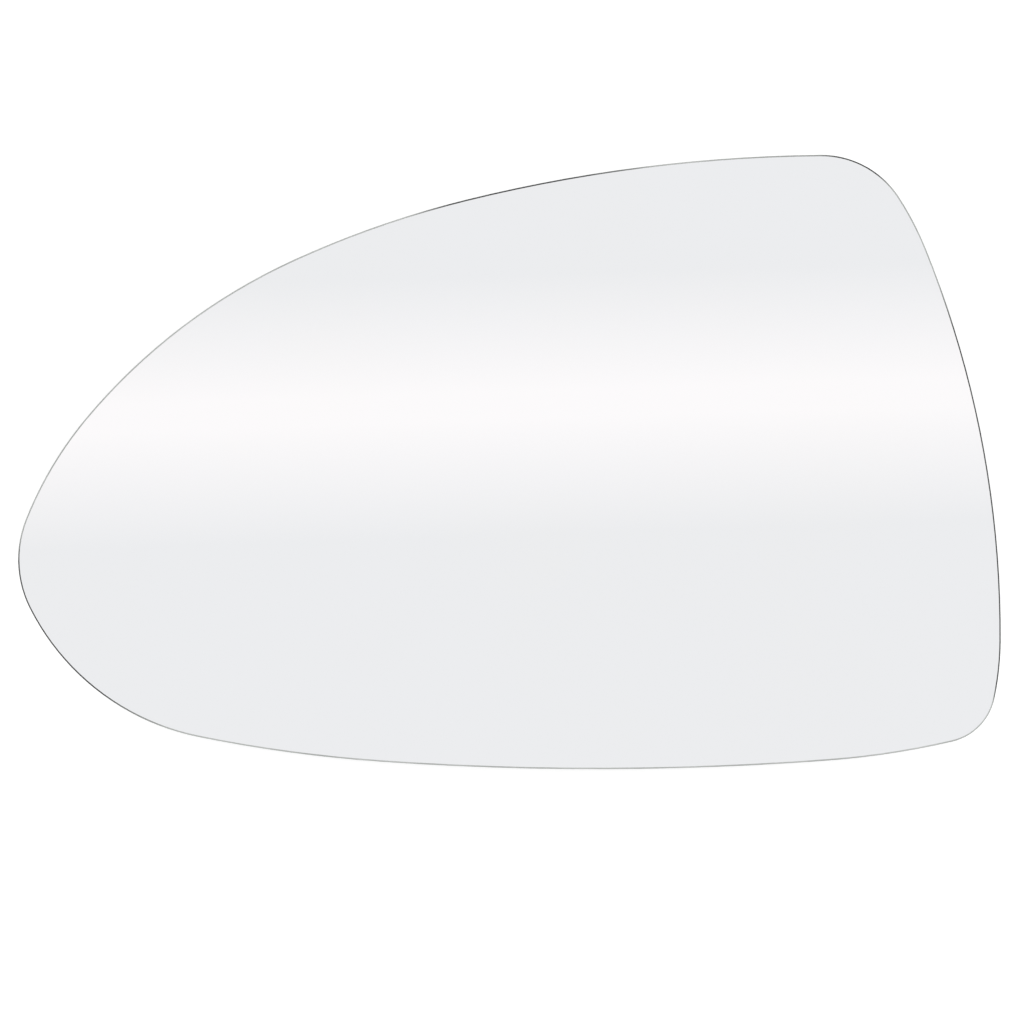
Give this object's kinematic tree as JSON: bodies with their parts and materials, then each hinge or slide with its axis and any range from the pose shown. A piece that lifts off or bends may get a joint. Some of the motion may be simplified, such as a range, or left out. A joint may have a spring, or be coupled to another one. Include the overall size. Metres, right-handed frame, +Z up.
{
  "type": "car door mirror glass",
  "caption": "Convex replacement glass for a car's door mirror: a bent sheet with a silvered back and a shallow round ground edge.",
  "frame": {"origin": "on the surface that the glass lies on, under the middle of its width and height", "axes": "+X to the right along the width, towards the wide end; +Y up the height as the driver sees the glass; +Z up, out of the reflecting face"},
  "size_m": [0.168, 0.105, 0.0046],
  "materials": {
    "mirror_glass": "silvered glass with a smooth face, a fine ground edge and a painted back"
  },
  "bodies": {
    "root": {"mirror_glass": "mirror_glass"}
  },
  "joints": []
}
